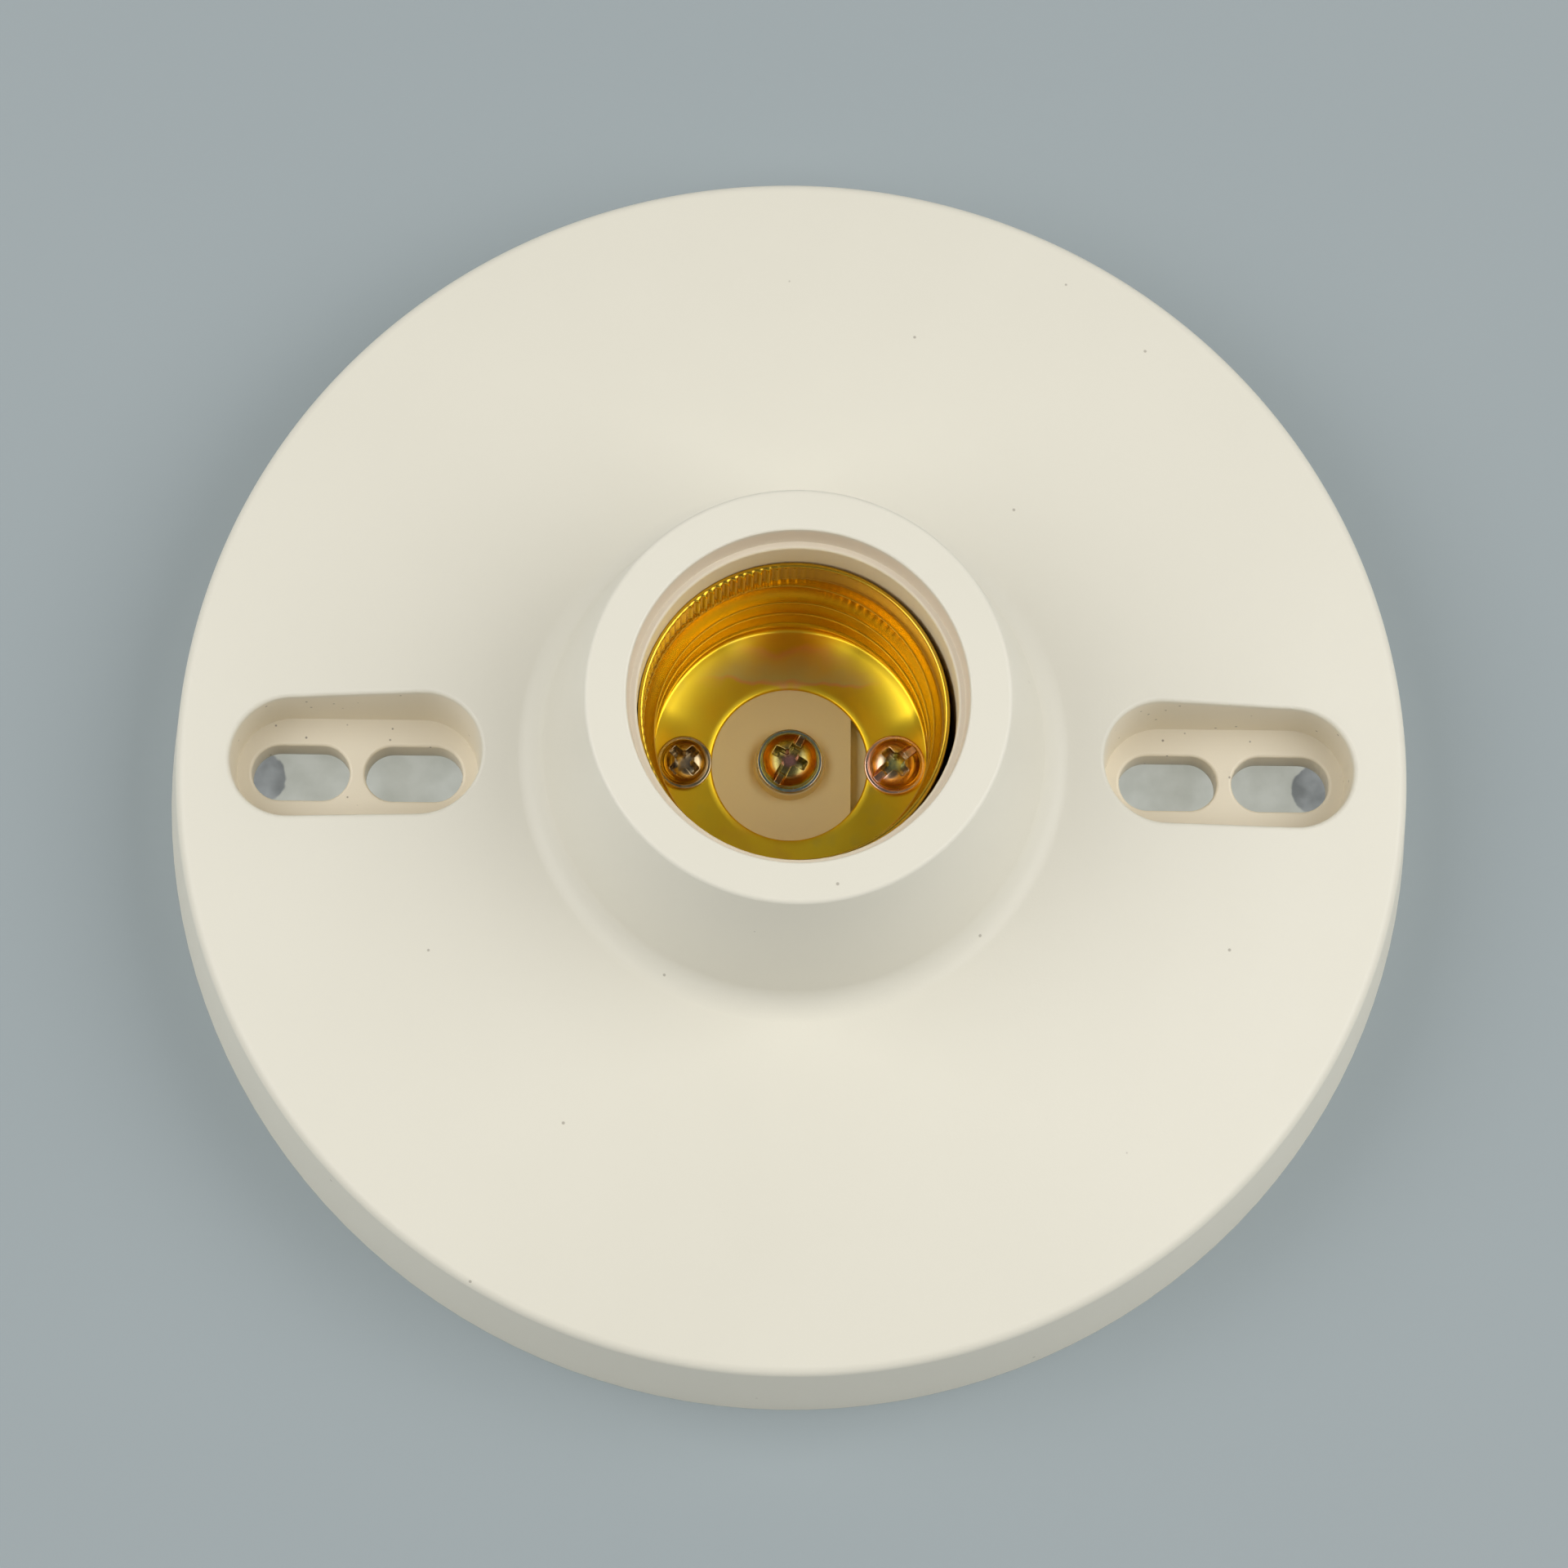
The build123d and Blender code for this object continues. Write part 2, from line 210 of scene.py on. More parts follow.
# Plating of the shell: roughness, and coloured streaks at the back of its floor
shell_floor_rough = 0.36
shell_wall_rough = 0.26
shell_worn = 0.01
streak_start = 6.5 * MM
streak_end = 11.5 * MM
streak_wobble = 0.8 * MM
streak_back_start = 6.0 * MM
streak_back_whole = 7.5 * MM
streak_side_whole = 5.0 * MM
streak_side_end = 9.0 * MM

# Screws
contact_boss_height = 1.3 * MM
screw_segments = 192
head_rings = 56
flange_width = 0.4 * MM
flange_height = 0.4 * MM
flange_round = 0.12 * MM
flange_fall = 3.0
dome_power = 2.4
drive_width = 0.8 * MM
drive_soft = 0.07 * MM
cross_depth = 1.3 * MM
cross_margin = 1.35 * MM
plain_cross_margin = 0.95 * MM
cross_bowl = 0.75 * MM
cross_end = 5 * drive_soft
slot_depth = 0.95 * MM
screw_pitch = 0.6 * MM
screw_thread_depth = 0.3 * MM
screw_crest_share = 0.15
thread_row_step = 0.08 * MM


def smooth_step(low, high, value):
    """0 at low, 1 at high, and a smooth rise between. Low may be the greater."""
    share = min(1.0, max(0.0, (value - low) / (high - low)))
    return share * share * (3 - 2 * share)


def smooth_max(first, second, blend):
    """The greater of two values, with a rounded change between them."""
    return (first + second + math.hypot(first - second, blend)) / 2


def mesh_piece(name, points, faces):
    """New smooth-shaded object from points and faces."""
    mesh = bpy.data.meshes.new(name)
    mesh.from_pydata(points, [], faces)
    mesh.validate()
    mesh.shade_smooth()
    return scene_object(name, mesh)


def scene_object(name, data):
    """New object in the scene."""
    made = bpy.data.objects.new(name, data)
    bpy.context.scene.collection.objects.link(made)
    return made


def ring_faces(rows, around):
    """Quads between rows of points, each row closed round an axis."""
    faces = []
    for row in range(rows - 1):
        for step in range(around):
            following = (step + 1) % around
            low, high = row * around, (row + 1) * around
            faces.append((low + step, low + following, high + following, high + step))
    return faces


def stands_for(piece, node):
    """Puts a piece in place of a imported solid, on the body that holds that solid."""
    bodies = frame["record"]["behaviour"]["bodies"]
    body = next(name for name, nodes in bodies.items() if node in nodes)
    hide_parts(node)
    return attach(piece, body)


def make_camera():
    """Camera on the photograph's line of sight."""
    turn, rise, roll = camera_turn, camera_elevation, camera_roll
    back = Vector((-math.cos(rise) * math.sin(turn), -math.cos(rise) * math.cos(turn), math.sin(rise)))
    right = Vector((math.cos(turn), -math.sin(turn), 0))
    up = back.cross(right)
    place = Vector((0, 0, aim_height)) + back * camera_distance - right * aim_right - up * aim_up
    across = math.cos(roll) * right - math.sin(roll) * up
    upright = math.sin(roll) * right + math.cos(roll) * up
    data = bpy.data.cameras.new("camera")
    data.sensor_width = sensor_side
    data.lens = focal_pixels * sensor_side / image_side
    data.clip_start = camera_clip
    camera = scene_object("camera", data)
    camera.matrix_world = Matrix((across, upright, back)).transposed().to_4x4()
    camera.location = place
    bpy.context.scene.camera = camera


def make_softbox(side, azimuth, power):
    """Area lamp beside the object, which looks at it."""
    data = bpy.data.lights.new(f"{side}_softbox", "AREA")
    data.shape = "RECTANGLE"
    data.size = softbox_width
    data.size_y = softbox_height
    data.energy = power
    data.color = softbox_tint
    lamp = scene_object(f"{side}_softbox", data)
    a, e = math.radians(azimuth), softbox_elevation
    away = Vector((math.sin(a) * math.cos(e), -math.cos(a) * math.cos(e), math.sin(e)))
    lamp.location = away * softbox_distance
    lamp.rotation_mode = "QUATERNION"
    lamp.rotation_quaternion = away.to_track_quat("Z", "Y")


def make_studio():
    """Pale floor, a sky that darkens overhead, and softboxes left and right."""
    world = bpy.data.worlds.new("studio")
    bpy.context.scene.world = world
    world.use_nodes = True
    tree = world.node_tree
    sky = tree.nodes["Background"]
    sky.inputs["Color"].default_value = sky_tint
    toward = tree.nodes.new("ShaderNodeSeparateXYZ")
    tree.links.new(tree.nodes.new("ShaderNodeTexCoord").outputs["Generated"], toward.inputs["Vector"])
    fall = tree.nodes.new("ShaderNodeMapRange")
    tree.links.new(toward.outputs["Z"], fall.inputs["Value"])
    fall.inputs["From Max"].default_value = sky_dark_from
    fall.inputs["To Min"].default_value = sky_low
    fall.inputs["To Max"].default_value = sky_high
    tree.links.new(fall.outputs["Result"], sky.inputs["Strength"])
    for side, (azimuth, power) in softboxes.items():
        make_softbox(side, azimuth, power)
    sides = ((-1, -1), (1, -1), (1, 1), (-1, 1))
    corners = [(x * floor_half, y * floor_half, floor_level) for x, y in sides]
    floor = mesh_piece("floor", corners, [(0, 1, 2, 3)])
    floor.data.materials.append(floor_material())


class Finish:
    """A material under construction: its shader and short ways to add nodes."""

    def __init__(self, name):
        self.material = bpy.data.materials.new(name)
        self.material.use_nodes = True
        self.tree = self.material.node_tree
        self.shader = self.tree.nodes["Principled BSDF"]
        self.place = self.tree.nodes.new("ShaderNodeTexCoord").outputs["Object"]

    def node(self, kind, **inputs):
        """Adds a node and sets or links its inputs, named with _ for a space."""
        made = self.tree.nodes.new(kind)
        for key, value in inputs.items():
            self.feed(made.inputs[key.replace("_", " ")], value)
        return made

    def feed(self, socket, value):
        """Links an output to a socket, or sets the socket's own value."""
        if isinstance(value, bpy.types.NodeSocket):
            self.tree.links.new(value, socket)
        else:
            socket.default_value = value

    def set(self, **inputs):
        """Feeds the shader's inputs."""
        for key, value in inputs.items():
            self.feed(self.shader.inputs[key.replace("_", " ")], value)

    def noise(self, per_metre, detail=3.0, where=None):
        """Noise of a number of waves in a metre."""
        made = self.node("ShaderNodeTexNoise", Vector=where or self.place, Scale=per_metre, Detail=detail)
        return made.outputs["Fac"]

    def spread(self, value, from_low, from_high, to_low, to_high):
        """Maps a value from one range to another, clamped."""
        made = self.node("ShaderNodeMapRange", Value=value, From_Min=from_low, From_Max=from_high,
                         To_Min=to_low, To_Max=to_high)
        return made.outputs["Result"]

    def math(self, operation, first, second=0.0):
        """One arithmetic node."""
        made = self.tree.nodes.new("ShaderNodeMath")
        made.operation = operation
        self.feed(made.inputs[0], first)
        self.feed(made.inputs[1], second)
        return made.outputs["Value"]

    def mix(self, share, first, second):
        """Mix of two colours."""
        made = self.tree.nodes.new("ShaderNodeMix")
        made.data_type = "RGBA"
        self.feed(made.inputs["Factor"], share)
        self.feed(made.inputs[6], first)
        self.feed(made.inputs[7], second)
        return made.outputs[2]

    def ramp(self, value, stops):
        """Colours along a value from 0 to 1."""
        made = self.node("ShaderNodeValToRGB", Fac=value)
        elements = made.color_ramp.elements
        while len(elements) < len(stops):
            elements.new(0.5)
        for element, (place, colour) in zip(elements, stops):
            element.position = place
            element.color = (*colour, 1)
        return made.outputs["Color"]

    def along(self, direction, start):
        """Distance of a point from a start, along a direction."""
        offset = self.tree.nodes.new("ShaderNodeVectorMath")
        offset.operation = "SUBTRACT"
        self.feed(offset.inputs[0], self.place)
        offset.inputs[1].default_value = start
        made = self.tree.nodes.new("ShaderNodeVectorMath")
        made.operation = "DOT_PRODUCT"
        self.feed(made.inputs[0], offset.outputs["Vector"])
        made.inputs[1].default_value = direction
        return made.outputs["Value"]

    def reach(self, scale, centre=(0, 0, 0)):
        """Distance of a point from an upright axis, times a scale."""
        offset = self.tree.nodes.new("ShaderNodeVectorMath")
        offset.operation = "SUBTRACT"
        self.feed(offset.inputs[0], self.place)
        offset.inputs[1].default_value = centre
        flat = self.tree.nodes.new("ShaderNodeVectorMath")
        flat.operation = "MULTIPLY"
        self.feed(flat.inputs[0], offset.outputs["Vector"])
        flat.inputs[1].default_value = (scale, scale, 0)
        made = self.tree.nodes.new("ShaderNodeVectorMath")
        made.operation = "LENGTH"
        self.feed(made.inputs[0], flat.outputs["Vector"])
        return made.outputs["Value"]

    def bump(self, height, distance, strength):
        """Feeds a bump to the shader's normal."""
        made = self.node("ShaderNodeBump", Height=height, Distance=distance, Strength=strength)
        self.set(Normal=made.outputs["Normal"])


def floor_material():
    """Matt blue-grey board with a pale paper under the base, lifted for the camera and reflections. The paper
    glows as painted light in the base's shade, and two round patches on it are painted shade.
    """
    board = Finish("studio_board")
    tone = board.noise(9, 2)
    board.set(Base_Color=board.mix(tone, (0.44, 0.48, 0.50, 1), (0.48, 0.52, 0.54, 1)), Roughness=0.8)
    open_lift = board.mix(tone, (0.05, 0.065, 0.07, 1), (0.07, 0.085, 0.09, 1))
    mottle = board.spread(board.noise(420, 3), 0.35, 0.65, 0.0, 1.0)
    # Painted light: the paper glows to stay pale in the shade under the base.
    paper_painted_light = board.mix(mottle, (0.32, 0.325, 0.28, 1), (0.38, 0.385, 0.34, 1))
    # Painted shade: two round patches on the paper glow dimmer, where the board below lies in shade.
    across = board.math("ABSOLUTE", board.along((1, 0, 0), (0, 0, 0)))
    sideways = board.math("POWER", board.math("SUBTRACT", across, shade_patch_place), 2.0)
    upwards = board.math("POWER", board.along((0, 1, 0), (0, shade_patch_back, 0)), 2.0)
    apart = board.math("SQRT", board.math("ADD", sideways, upwards))
    apart = board.math("ADD", apart, board.spread(mottle, 0.0, 1.0, -shade_patch_edge, shade_patch_edge))
    painted_shade_patch = board.spread(apart, shade_patch_radius, shade_patch_radius - shade_patch_edge, 0.0, 1.0)
    patch_painted_shade = board.mix(mottle, (0.10, 0.105, 0.105, 1), (0.22, 0.23, 0.23, 1))
    paper_painted_light = board.mix(painted_shade_patch, paper_painted_light, patch_painted_shade)
    inside = board.spread(board.reach(1.0), paper_radius, paper_radius - paper_edge, 0.0, 1.0)
    lift = board.node("ShaderNodeEmission", Color=board.mix(inside, open_lift, paper_painted_light))
    shade = board.node("ShaderNodeBsdfDiffuse", Color=(0.30, 0.335, 0.35, 1))
    pale = board.tree.nodes.new("ShaderNodeAddShader")
    board.feed(pale.inputs[0], lift.outputs["Emission"])
    board.feed(pale.inputs[1], shade.outputs["BSDF"])
    ray = board.node("ShaderNodeLightPath")
    seen = board.math("MAXIMUM", ray.outputs["Is Camera Ray"], ray.outputs["Is Glossy Ray"])
    both = board.tree.nodes.new("ShaderNodeMixShader")
    board.feed(both.inputs[0], seen)
    board.feed(both.inputs[1], board.shader.outputs["BSDF"])
    board.feed(both.inputs[2], pale.outputs["Shader"])
    board.feed(board.tree.nodes["Material Output"].inputs["Surface"], both.outputs["Shader"])
    return board.material


def recess_share(cream):
    """1 on the walls and floors of the recesses, and 0 elsewhere."""
    radius = cream.reach(1.0)
    height = cream.along((0, 0, 1), (0, 0, 0))
    top = cream.math("SUBTRACT", top_middle, cream.math("MULTIPLY", radius, slope_rise))
    depth = cream.math("SUBTRACT", top, height)
    share = cream.spread(depth, recess_depth_start, recess_depth_whole, 0.0, 1.0)
    sideways = cream.math("ABSOLUTE", cream.along((0, 1, 0), (0, 0, 0)))
    for value, whole, edge in (
        (sideways, recess_half_width, recess_side_edge),
        (radius, recess_near_radius, -recess_end_edge),
        (radius, recess_far_radius, recess_end_edge),
        (height, recess_bottom, -recess_bottom_edge),
    ):
        share = cream.math("MULTIPLY", share, cream.spread(value, whole + edge, whole, 0.0, 1.0))
    return share


def moulding_material():
    """Cream moulded plastic: faint colour drift, fine grain, a few dark specks, dark crumbs in the recesses,
    and painted light and shade: warmer in the socket, darker in the mouth and tan in the recesses.
    """
    cream = Finish("cream_moulding")
    drift = cream.noise(35, 3)
    base = cream.mix(drift, (0.765, 0.738, 0.635, 1), (0.80, 0.772, 0.668, 1))
    cells = cream.node("ShaderNodeTexVoronoi", Vector=cream.place, Scale=170.0)
    speck = cream.spread(cells.outputs["Distance"], 0.018, 0.03, 1.0, 0.0)
    base = cream.mix(cream.math("MULTIPLY", speck, 0.5), base, (0.16, 0.12, 0.08, 1))
    radius = cream.reach(1.0)
    rise = cream.along((0, 0, 1), shell_low)
    # Painted light: golden bounce light from the shell, as a warmer cream in the socket from just below the
    # shell upward.
    socket = cream.spread(radius, socket_radius + socket_edge, socket_radius - socket_edge, 0.0, 0.9)
    inside = cream.spread(rise, -socket_none_below, -socket_whole_below, 0.0, 1.0)
    base = cream.mix(cream.math("MULTIPLY", socket, inside), base, (1.0, 0.87, 0.45, 1))
    # Painted shade: darker, warmer cream inside the mouth below its rim, outside the socket.
    mouth = cream.spread(radius, mouth_radius + mouth_edge, mouth_radius - mouth_edge, 0.0, 1.0)
    lower = cream.spread(cream.along((0, 0, 1), (0, 0, neck_height)), -ring_start, -ring_whole, 0.0, 0.7)
    ring = cream.math("MULTIPLY", cream.math("MULTIPLY", mouth, lower), inside)
    ring = cream.math("MULTIPLY", ring, cream.math("SUBTRACT", 1.0, socket))
    base = cream.mix(ring, base, (0.80, 0.69, 0.54, 1))
    # Painted shade on the recesses' walls and floors; the same mask also places the real dark crumbs there.
    recess_shade_and_crumbs = recess_share(cream)
    base = cream.mix(recess_shade_and_crumbs, base, (0.82, 0.75, 0.605, 1))
    crumbs = cream.node("ShaderNodeTexVoronoi", Vector=cream.place, Scale=620.0)
    crumb = cream.spread(crumbs.outputs["Distance"], 0.05, 0.09, 0.7, 0.0)
    base = cream.mix(cream.math("MULTIPLY", crumb, recess_shade_and_crumbs), base, (0.14, 0.11, 0.08, 1))
    cloud = cream.noise(120, 4)
    grain = cream.noise(5200, 2)
    cream.set(Base_Color=base, Roughness=cream.spread(cloud, 0.3, 0.7, 0.38, 0.46))
    cream.bump(grain, 0.02 * MM, 0.3)
    return cream.material


def gold_material():
    """Yellow-chromated sheet: golden, with painted shade that makes the thread valleys orange and the
    collar's flute grooves darker, and pink and green drifts on the floor.
    """
    gold = Finish("yellow_chromate")
    swirl = gold.noise(150, 3)
    colour = gold.ramp(swirl, [
        (0.28, (0.74, 0.55, 0.075)),
        (0.42, (0.90, 0.64, 0.035)),
        (0.58, (0.92, 0.61, 0.03)),
        (0.72, (0.86, 0.48, 0.045)),
    ])
    height = gold.along((0, 0, 1), (0, 0, shell_floor))
    radius = gold.reach(1.0, shell_centre)
    # Painted shade: the thread's valleys are painted a darker orange.
    valley_shade = gold.spread(radius, thread_major_radius - 0.6 * thread_depth, thread_major_radius, 0.0, 0.6)
    rim = shell_high.z - shell_floor
    below = gold.spread(height, rim - collar_length, rim - flute_length, 0.0, 1.0)
    colour = gold.mix(gold.math("MULTIPLY", valley_shade, below), colour, (0.81, 0.43, 0.06, 1))
    # Painted shade: the collar's flute grooves are painted darker.
    groove = gold.spread(radius, thread_major_radius - 0.7 * flute_depth, thread_major_radius, 0.0, 0.6)
    above = gold.spread(below, 0.0, 1.0, 1.0, 0.0)
    colour = gold.mix(gold.math("MULTIPLY", groove, above), colour, (0.50, 0.27, 0.04, 1))
    wobble = gold.spread(gold.noise(260, 2), 0.3, 0.7, -streak_wobble, streak_wobble)
    far = gold.math("ADD", gold.along((0, 1, 0), shell_centre), wobble)
    streak = gold.ramp(gold.spread(far, streak_start, streak_end, 0.0, 1.0), [
        (0.16, (0.90, 0.62, 0.04)),
        (0.23, (0.97, 0.47, 0.17)),
        (0.29, (0.80, 0.64, 0.20)),
        (0.62, (0.92, 0.60, 0.11)),
        (0.80, (0.96, 0.52, 0.12)),
        (0.95, (0.90, 0.58, 0.04)),
    ])
    low = gold.spread(height, bend_radius, 0.0, 0.0, 0.85)
    sideways = gold.math("ABSOLUTE", gold.along((1, 0, 0), shell_centre))
    middle = gold.spread(sideways, streak_side_end, streak_side_whole, 0.0, 1.0)
    back = gold.spread(far, streak_back_start, streak_back_whole, 0.0, 1.0)
    share = gold.math("MULTIPLY", gold.math("MULTIPLY", low, middle), back)
    colour = gold.mix(share, colour, streak)
    fine = gold.noise(900, 4)
    worn = gold.spread(fine, 0.3, 0.7, -shell_worn, shell_worn)
    rough = gold.spread(height, 0.0, 2 * bend_radius, shell_floor_rough, shell_wall_rough)
    gold.set(Base_Color=colour, Metallic=1.0)
    gold.set(Roughness=gold.math("ADD", rough, worn))
    gold.bump(fine, 0.01 * MM, 0.03)
    return gold.material


def chromate_and_shade_material(name, radius, stops, rough_low, rough_high):
    """Chromated screw metal whose colour goes by distance from the screw's axis: chromate colours, with
    painted shade and reflection among them.
    """
    plate = Finish(name)
    wobble = plate.spread(plate.noise(700, 2), 0.2, 0.8, -0.07, 0.07)
    share = plate.math("ADD", plate.reach(1 / radius), wobble)
    fine = plate.noise(1500, 3)
    plate.set(Base_Color=plate.ramp(share, stops), Metallic=1.0)
    plate.set(Roughness=plate.spread(fine, 0.3, 0.7, rough_low, rough_high))
    plate.bump(fine, 0.015 * MM, 0.3)
    return plate.material


def plain_metal(name, dark, light):
    """Bare or plated terminal metal with fine brushing."""
    metal = Finish(name)
    drift = metal.noise(260, 4)
    stretched = metal.node("ShaderNodeMapping", Vector=metal.place, Scale=(400, 6000, 6000))
    brushed = metal.noise(1.0, 2, where=stretched.outputs["Vector"])
    metal.set(Base_Color=metal.mix(drift, dark, light), Metallic=1.0)
    metal.set(Roughness=metal.spread(brushed, 0.3, 0.7, 0.22, 0.36))
    metal.bump(brushed, 0.01 * MM, 0.3)
    return metal.material


def corner_normals(form):
    """Normal of each face corner: the mean of the faces round its point that bend less than a crease."""
    area = {face: face.calc_area() for face in form.faces}
    normals = []
    for face in form.faces:
        for corner in face.loops:
            total = Vector()
            for other in corner.vert.link_faces:
                if other.normal.dot(face.normal) > crease_limit:
                    total += other.normal * area[other]
            normals.append(total.normalized())
    return normals


def even_rings(points, normals):
    """Gives the corners on each turned ring of the moulding one tilt, so that turned faces shade evenly."""
    rings = defaultdict(list)
    for index, (point, normal) in enumerate(zip(points, normals)):
        radius = math.hypot(point.x, point.y)
        if radius < weld_distance:
            continue
        around = (normal.y * point.x - normal.x * point.y) / radius
        outwards = (normal.x * point.x + normal.y * point.y) / radius
        if abs(around) < turned_limit:
            place = round(radius / ring_grid), round(point.z / ring_grid)
            rings[place].append((math.atan2(normal.z, outwards), index))
    for ring in rings.values():
        ring.sort()
        group = []
        for tilt, index in ring + [(math.inf, None)]:
            if group and tilt - group[-1][0] > ring_split:
                even_group(points, normals, group)
                group = []
            group.append((tilt, index))


def even_group(points, normals, group):
    """Sets the corners of one ring to their mean tilt."""
    tilt = sum(value for value, index in group) / len(group)
    for value, index in group:
        point = points[index]
        radius = math.hypot(point.x, point.y)
        level = math.cos(tilt) / radius
        normals[index] = Vector((point.x * level, point.y * level, math.sin(tilt)))


def rounded(corners):
    """Points of radius and height along a path, with its corners rounded. The end corners only guide it."""
    points = []
    for before, here, after in zip(corners, corners[1:], corners[2:]):
        corner, fillet = Vector(here[:2]), here[2]
        if not fillet:
            points.append(corner)
            continue
        back = (Vector(before[:2]) - corner).normalized()
        onward = (Vector(after[:2]) - corner).normalized()
        half = back.angle(onward) / 2
        centre = corner + (back + onward).normalized() * fillet / math.sin(half)
        first = corner + back * fillet / math.tan(half) - centre
        last = corner + onward * fillet / math.tan(half) - centre
        for step in range(bend_rows + 1):
            points.append(centre + first.slerp(last, step / bend_rows).normalized() * fillet)
    return points


def off_path(vert, path):
    """Distance of a point from a path, by radius and height."""
    place = Vector((math.hypot(vert.co.x, vert.co.y), vert.co.z))
    nearest = math.inf
    for start, end in zip(path, path[1:]):
        share = (place - start).dot(end - start) / (end - start).length_squared
        foot = start.lerp(end, min(1.0, max(0.0, share)))
        nearest = min(nearest, (place - foot).length)
    return nearest


def turn_of(vert):
    """Angle of a point round the axis."""
    return math.atan2(vert.co.y, vert.co.x)


def zip_rings(form, first, second):
    """Triangles between two rings of points round the axis, in the order of their angles."""
    first, second = sorted(first, key=turn_of), sorted(second, key=turn_of)
    first_turns = [turn_of(vert) for vert in first[1:]] + [turn_of(first[0]) + 2 * math.pi]
    second_turns = [turn_of(vert) for vert in second[1:]] + [turn_of(second[0]) + 2 * math.pi]
    i = j = 0
    while i < len(first) or j < len(second):
        here, there = first[i % len(first)], second[j % len(second)]
        if j == len(second) or (i < len(first) and first_turns[i] <= second_turns[j]):
            i += 1
            form.faces.new((here, there, first[i % len(first)]))
        else:
            j += 1
            form.faces.new((here, there, second[j % len(second)]))


def turn_again(form, corners):
    """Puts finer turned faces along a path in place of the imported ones, joined to the rings at its ends."""
    path = rounded(corners)
    lying = {vert for vert in form.verts if off_path(vert, path) < path_tolerance}
    old = [face for face in form.faces if all(vert in lying for vert in face.verts)]
    bmesh.ops.delete(form, geom=old, context="FACES")
    edge_points = {vert for edge in form.edges if edge.is_boundary for vert in edge.verts}
    near = [vert for vert in edge_points if off_path(vert, path[:2]) < path_tolerance]
    far = [vert for vert in edge_points if vert not in near]
    rings = [near]
    turns = [2 * math.pi * step / turned_segments for step in range(turned_segments)]
    for radius, height in path[1:-1]:
        rings.append([form.verts.new((radius * math.cos(a), radius * math.sin(a), height)) for a in turns])
    rings.append(far)
    for ring, following in zip(rings, rings[1:]):
        zip_rings(form, ring, following)


def make_moulding():
    """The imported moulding, welded, with rounder turned faces and even normals."""
    form = bmesh.new()
    form.from_mesh(frame["nodes"]["body"].data)
    bmesh.ops.remove_doubles(form, verts=form.verts, dist=weld_distance)
    turn_again(form, edge_path)
    turn_again(form, neck_path)
    form.normal_update()
    points = [corner.vert.co.copy() for face in form.faces for corner in face.loops]
    normals = corner_normals(form)
    even_rings(points, normals)
    mesh = bpy.data.meshes.new("base_moulding")
    form.to_mesh(mesh)
    form.free()
    mesh.shade_smooth()
    mesh.normals_split_custom_set(normals)
    mesh.materials.clear()
    mesh.materials.append(moulding_material())
    return stands_for(scene_object("base_moulding", mesh), "body")


def shell_radius(rise, height, angle):
    """Inner radius of the shell's threaded wall at a rise above its corner."""
    half_depth = thread_depth / 2
    run_in = min(1.0, rise / thread_run_in)
    run_out = min(1.0, (height - rise) / thread_run_in)
    swing = half_depth * run_in * run_out
    turn = 2 * math.pi * rise / thread_pitch
    return thread_major_radius - half_depth * run_out + swing * math.cos(angle - turn)


def sector(angle, middle, edge, core):
    """1 round a middle angle and 0 far from it. The edge and the core are cosines of the angle between."""
    return smooth_step(edge, core, math.cos(angle - middle))


def flute_wave(angle):
    """1 on a flute's ridge and 0 between flutes."""
    return 1 - abs(math.sin(flute_count * angle / 2))


def flute(angle, drop):
    """How far the flutes stand in at an angle and a drop below the rim."""
    strength = flute_least + flute_faint * sector(angle, flute_faint_turn, 0.2, 0.6)
    strength += flute_deep * sector(angle, flute_deep_turn, 0.93, 0.985)
    below = smooth_step(flute_length, flute_length * flute_whole_share, drop)
    rim = smooth_step(flute_rim_start, flute_rim_whole, drop)
    return flute_depth * strength * flute_wave(angle) * below * rim


def chatter(angle, rise, drop):
    """Depth of the faint tool marks across the thread's turns, to the right of the back."""
    above = smooth_step(chatter_start, chatter_whole_from, drop)
    below = smooth_step(chatter_end, chatter_whole_to, drop)
    band = sector(angle, 2 * math.pi * rise / thread_pitch, -0.4, 0.6)
    side = sector(angle, chatter_turn, 0.88, 0.97)
    return chatter_depth * side * above * below * band * flute_wave(angle)


def dish(angle):
    """How far the floor's outer edge is drawn up at an angle: in two corners, between screws and back."""
    corners = smooth_step(0.18, 0.42, math.sin(angle)) * smooth_step(0.05, 0.5, abs(math.cos(angle)))
    return dish_rise * corners * (1 + dish_lean * math.cos(angle))


